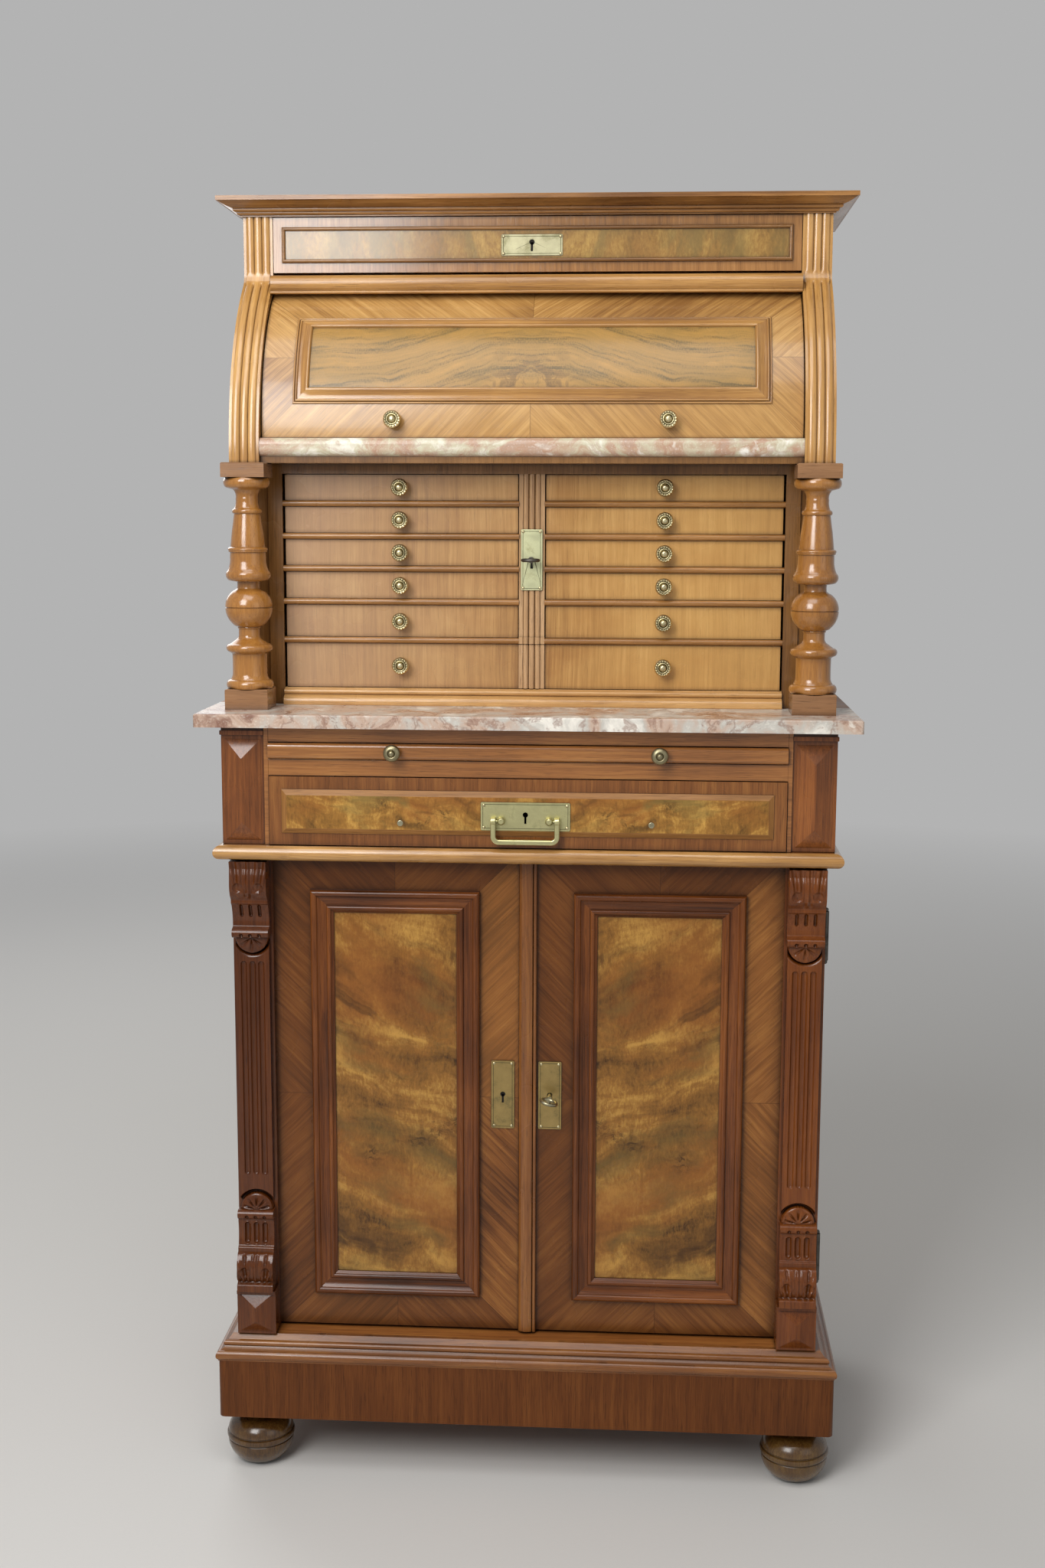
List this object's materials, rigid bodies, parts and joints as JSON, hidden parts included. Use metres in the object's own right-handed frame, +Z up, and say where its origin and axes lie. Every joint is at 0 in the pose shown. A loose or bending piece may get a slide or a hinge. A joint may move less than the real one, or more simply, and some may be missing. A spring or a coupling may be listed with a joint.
{
  "type": "dental cabinet",
  "caption": "Upright wooden cabinet on bun feet with panelled doors, drawer bank between turned columns, stone tops, pull-out slide and a curved roll front under a cornice.",
  "frame": {"origin": "on the floor, under the middle of the cabinet's bounding box", "axes": "+X to the cabinet's right as seen from the front, front towards -Y, +Z up"},
  "size_m": [0.8, 0.45, 1.6055],
  "materials": {
    "walnut": "polished",
    "dark_walnut": "polished",
    "burl": "polished",
    "pine": "matte",
    "marble": "polished marble, opaque",
    "brass": "aged",
    "steel": "worn"
  },
  "bodies": {
    "cabinet": {"bun_feet": "dark_walnut", "plinth_box": "walnut", "plinth_moulding": "dark_walnut", "lower_case": "walnut", "back_panels": "pine", "cupboard_shelf": "pine", "waist_moulding": "dark_walnut", "frieze_corner_blocks": "dark_walnut", "frieze_rails": "walnut", "marble_top": "marble", "top_board": "walnut", "bank_case": "walnut", "bank_dust_boards": "walnut", "bank_base_rail": "dark_walnut", "columns": "walnut", "column_blocks": "walnut", "upper_marble_shelf": "marble", "curved_posts": "dark_walnut", "upper_case": "walnut", "upper_rail": "dark_walnut", "cornice": "dark_walnut", "case_hinges": "brass", "bank_pilaster": "dark_walnut", "bank_lock_plate": "brass"},
    "right_door": {"right_door_frame": "walnut", "right_door_panel": "burl", "right_door_moulding": "dark_walnut", "right_door_pilaster": "dark_walnut", "right_door_fittings": "brass", "right_door_astragal": "dark_walnut"},
    "left_door": {"left_door_frame": "walnut", "left_door_panel": "burl", "left_door_moulding": "dark_walnut", "left_door_pilaster": "dark_walnut", "left_door_fittings": "brass"},
    "door_key": {"door_key": "steel"},
    "lower_drawer": {"lower_drawer": "walnut", "drawer_handle_plate": "brass"},
    "drawer_bail": {"drawer_bail": "brass"},
    "writing_slide": {"writing_slide": "walnut", "slide_knobs": "brass"},
    "wide_drawer": {"wide_drawer": "walnut"},
    "bank_key": {"bank_key": "steel"},
    "roll_front": {"roll_front": "walnut", "roll_front_frame": "dark_walnut", "roll_front_field": "burl", "roll_front_knobs": "brass"},
    "frieze_drawer": {"frieze_drawer": "walnut", "frieze_drawer_lock_plate": "brass"},
    "small_drawer_right_1": {"small_drawer_right_1": "walnut"},
    "small_drawer_right_2": {"small_drawer_right_2": "walnut"},
    "small_drawer_right_3": {"small_drawer_right_3": "walnut"},
    "small_drawer_right_4": {"small_drawer_right_4": "walnut"},
    "small_drawer_right_5": {"small_drawer_right_5": "walnut"},
    "small_drawer_left_1": {"small_drawer_left_1": "walnut"},
    "small_drawer_left_2": {"small_drawer_left_2": "walnut"},
    "small_drawer_left_3": {"small_drawer_left_3": "walnut"},
    "small_drawer_left_4": {"small_drawer_left_4": "walnut"},
    "small_drawer_left_5": {"small_drawer_left_5": "walnut"}
  },
  "joints": [
    {"name": "right_door_hinge", "type": "hinge", "parent": "cabinet", "child": "right_door", "pos_m": [0.3699, -0.143, 0.4855], "axis": [0, 0, 1], "range_deg": [0, 105]},
    {"name": "left_door_hinge", "type": "hinge", "parent": "cabinet", "child": "left_door", "pos_m": [-0.3699, -0.143, 0.4855], "axis": [0, 0, -1], "range_deg": [0, 105]},
    {"name": "door_key_turn", "type": "hinge", "parent": "right_door", "child": "door_key", "pos_m": [0.0295, -0.19, 0.4975], "axis": [0, -1, 0], "range_deg": [0, 90]},
    {"name": "lower_drawer_slide", "type": "slide", "parent": "cabinet", "child": "lower_drawer", "axis": [0, -1, 0], "range_m": [0, 0.22]},
    {"name": "drawer_bail_swing", "type": "hinge", "parent": "lower_drawer", "child": "drawer_bail", "pos_m": [0, -0.2114, 0.8525], "axis": [-1, 0, 0], "range_deg": [0, 80]},
    {"name": "writing_slide_pull", "type": "slide", "parent": "cabinet", "child": "writing_slide", "axis": [0, -1, 0], "range_m": [0, 0.22]},
    {"name": "small_drawer_right_1_slide", "type": "slide", "parent": "cabinet", "child": "small_drawer_right_1", "axis": [0, -1, 0], "range_m": [0, 0.14]},
    {"name": "small_drawer_right_2_slide", "type": "slide", "parent": "cabinet", "child": "small_drawer_right_2", "axis": [0, -1, 0], "range_m": [0, 0.14]},
    {"name": "small_drawer_right_3_slide", "type": "slide", "parent": "cabinet", "child": "small_drawer_right_3", "axis": [0, -1, 0], "range_m": [0, 0.14]},
    {"name": "small_drawer_right_4_slide", "type": "slide", "parent": "cabinet", "child": "small_drawer_right_4", "axis": [0, -1, 0], "range_m": [0, 0.14]},
    {"name": "small_drawer_right_5_slide", "type": "slide", "parent": "cabinet", "child": "small_drawer_right_5", "axis": [0, -1, 0], "range_m": [0, 0.14]},
    {"name": "small_drawer_left_1_slide", "type": "slide", "parent": "cabinet", "child": "small_drawer_left_1", "axis": [0, -1, 0], "range_m": [0, 0.14]},
    {"name": "small_drawer_left_2_slide", "type": "slide", "parent": "cabinet", "child": "small_drawer_left_2", "axis": [0, -1, 0], "range_m": [0, 0.14]},
    {"name": "small_drawer_left_3_slide", "type": "slide", "parent": "cabinet", "child": "small_drawer_left_3", "axis": [0, -1, 0], "range_m": [0, 0.14]},
    {"name": "small_drawer_left_4_slide", "type": "slide", "parent": "cabinet", "child": "small_drawer_left_4", "axis": [0, -1, 0], "range_m": [0, 0.14]},
    {"name": "small_drawer_left_5_slide", "type": "slide", "parent": "cabinet", "child": "small_drawer_left_5", "axis": [0, -1, 0], "range_m": [0, 0.14]},
    {"name": "wide_drawer_slide", "type": "slide", "parent": "cabinet", "child": "wide_drawer", "axis": [0, -1, 0], "range_m": [0, 0.14]},
    {"name": "bank_key_turn", "type": "hinge", "parent": "cabinet", "child": "bank_key", "pos_m": [0, -0.11, 1.1626], "axis": [0, -1, 0], "range_deg": [0, 90]},
    {"name": "roll_front_turn", "type": "hinge", "parent": "cabinet", "child": "roll_front", "pos_m": [0, 0.076, 1.3135], "axis": [-1, 0, 0], "range_deg": [0, 42]},
    {"name": "frieze_drawer_slide", "type": "slide", "parent": "cabinet", "child": "frieze_drawer", "axis": [0, -1, 0], "range_m": [0, 0.14]}
  ]
}
